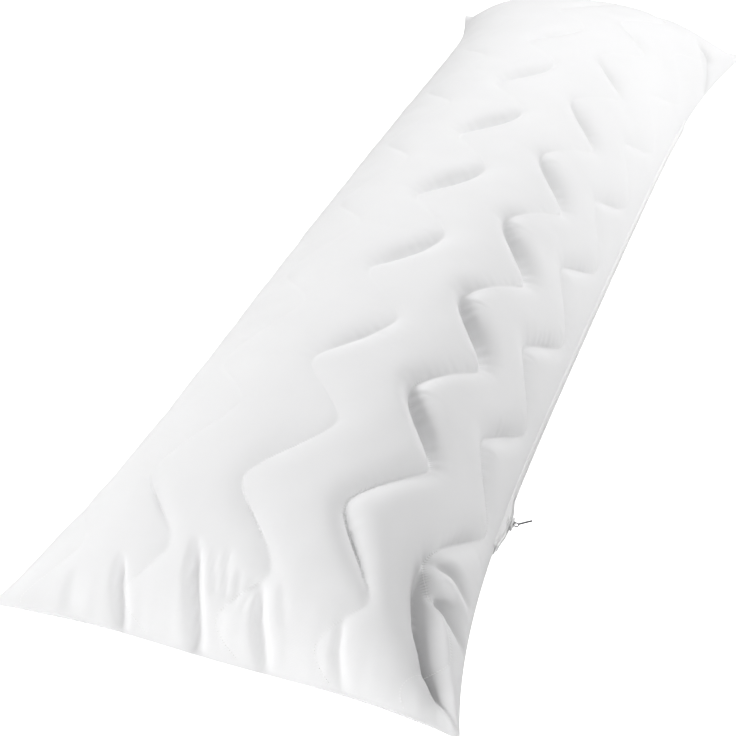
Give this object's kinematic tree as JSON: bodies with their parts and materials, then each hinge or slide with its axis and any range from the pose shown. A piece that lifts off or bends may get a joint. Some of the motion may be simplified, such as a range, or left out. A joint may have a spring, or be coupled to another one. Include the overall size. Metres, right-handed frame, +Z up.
{
  "type": "body pillow",
  "caption": "Long filled pillow, zigzag-quilted on its upper face, with drawn-in sides, pointed corner ears and a zip in one long seam.",
  "frame": {"origin": "middle of the footprint, on the surface the pillow rests on", "axes": "+Y along the length, away from the end where the zip's slider is parked; +X across, towards the zipped seam; +Z up, out of the quilted face"},
  "size_m": [0.5, 1.6, 0.1959],
  "materials": {
    "cover_cloth": "smooth matt white polyester cloth",
    "zip_cloth": "white woven zip tape with a moulded coil",
    "nickel": "bright nickel plating"
  },
  "bodies": {
    "root": {"pillow": "cover_cloth", "zip_tape_upper": "zip_cloth", "zip_tape_lower": "zip_cloth", "zip_slider": "nickel", "zip_pull": "nickel"}
  },
  "joints": []
}
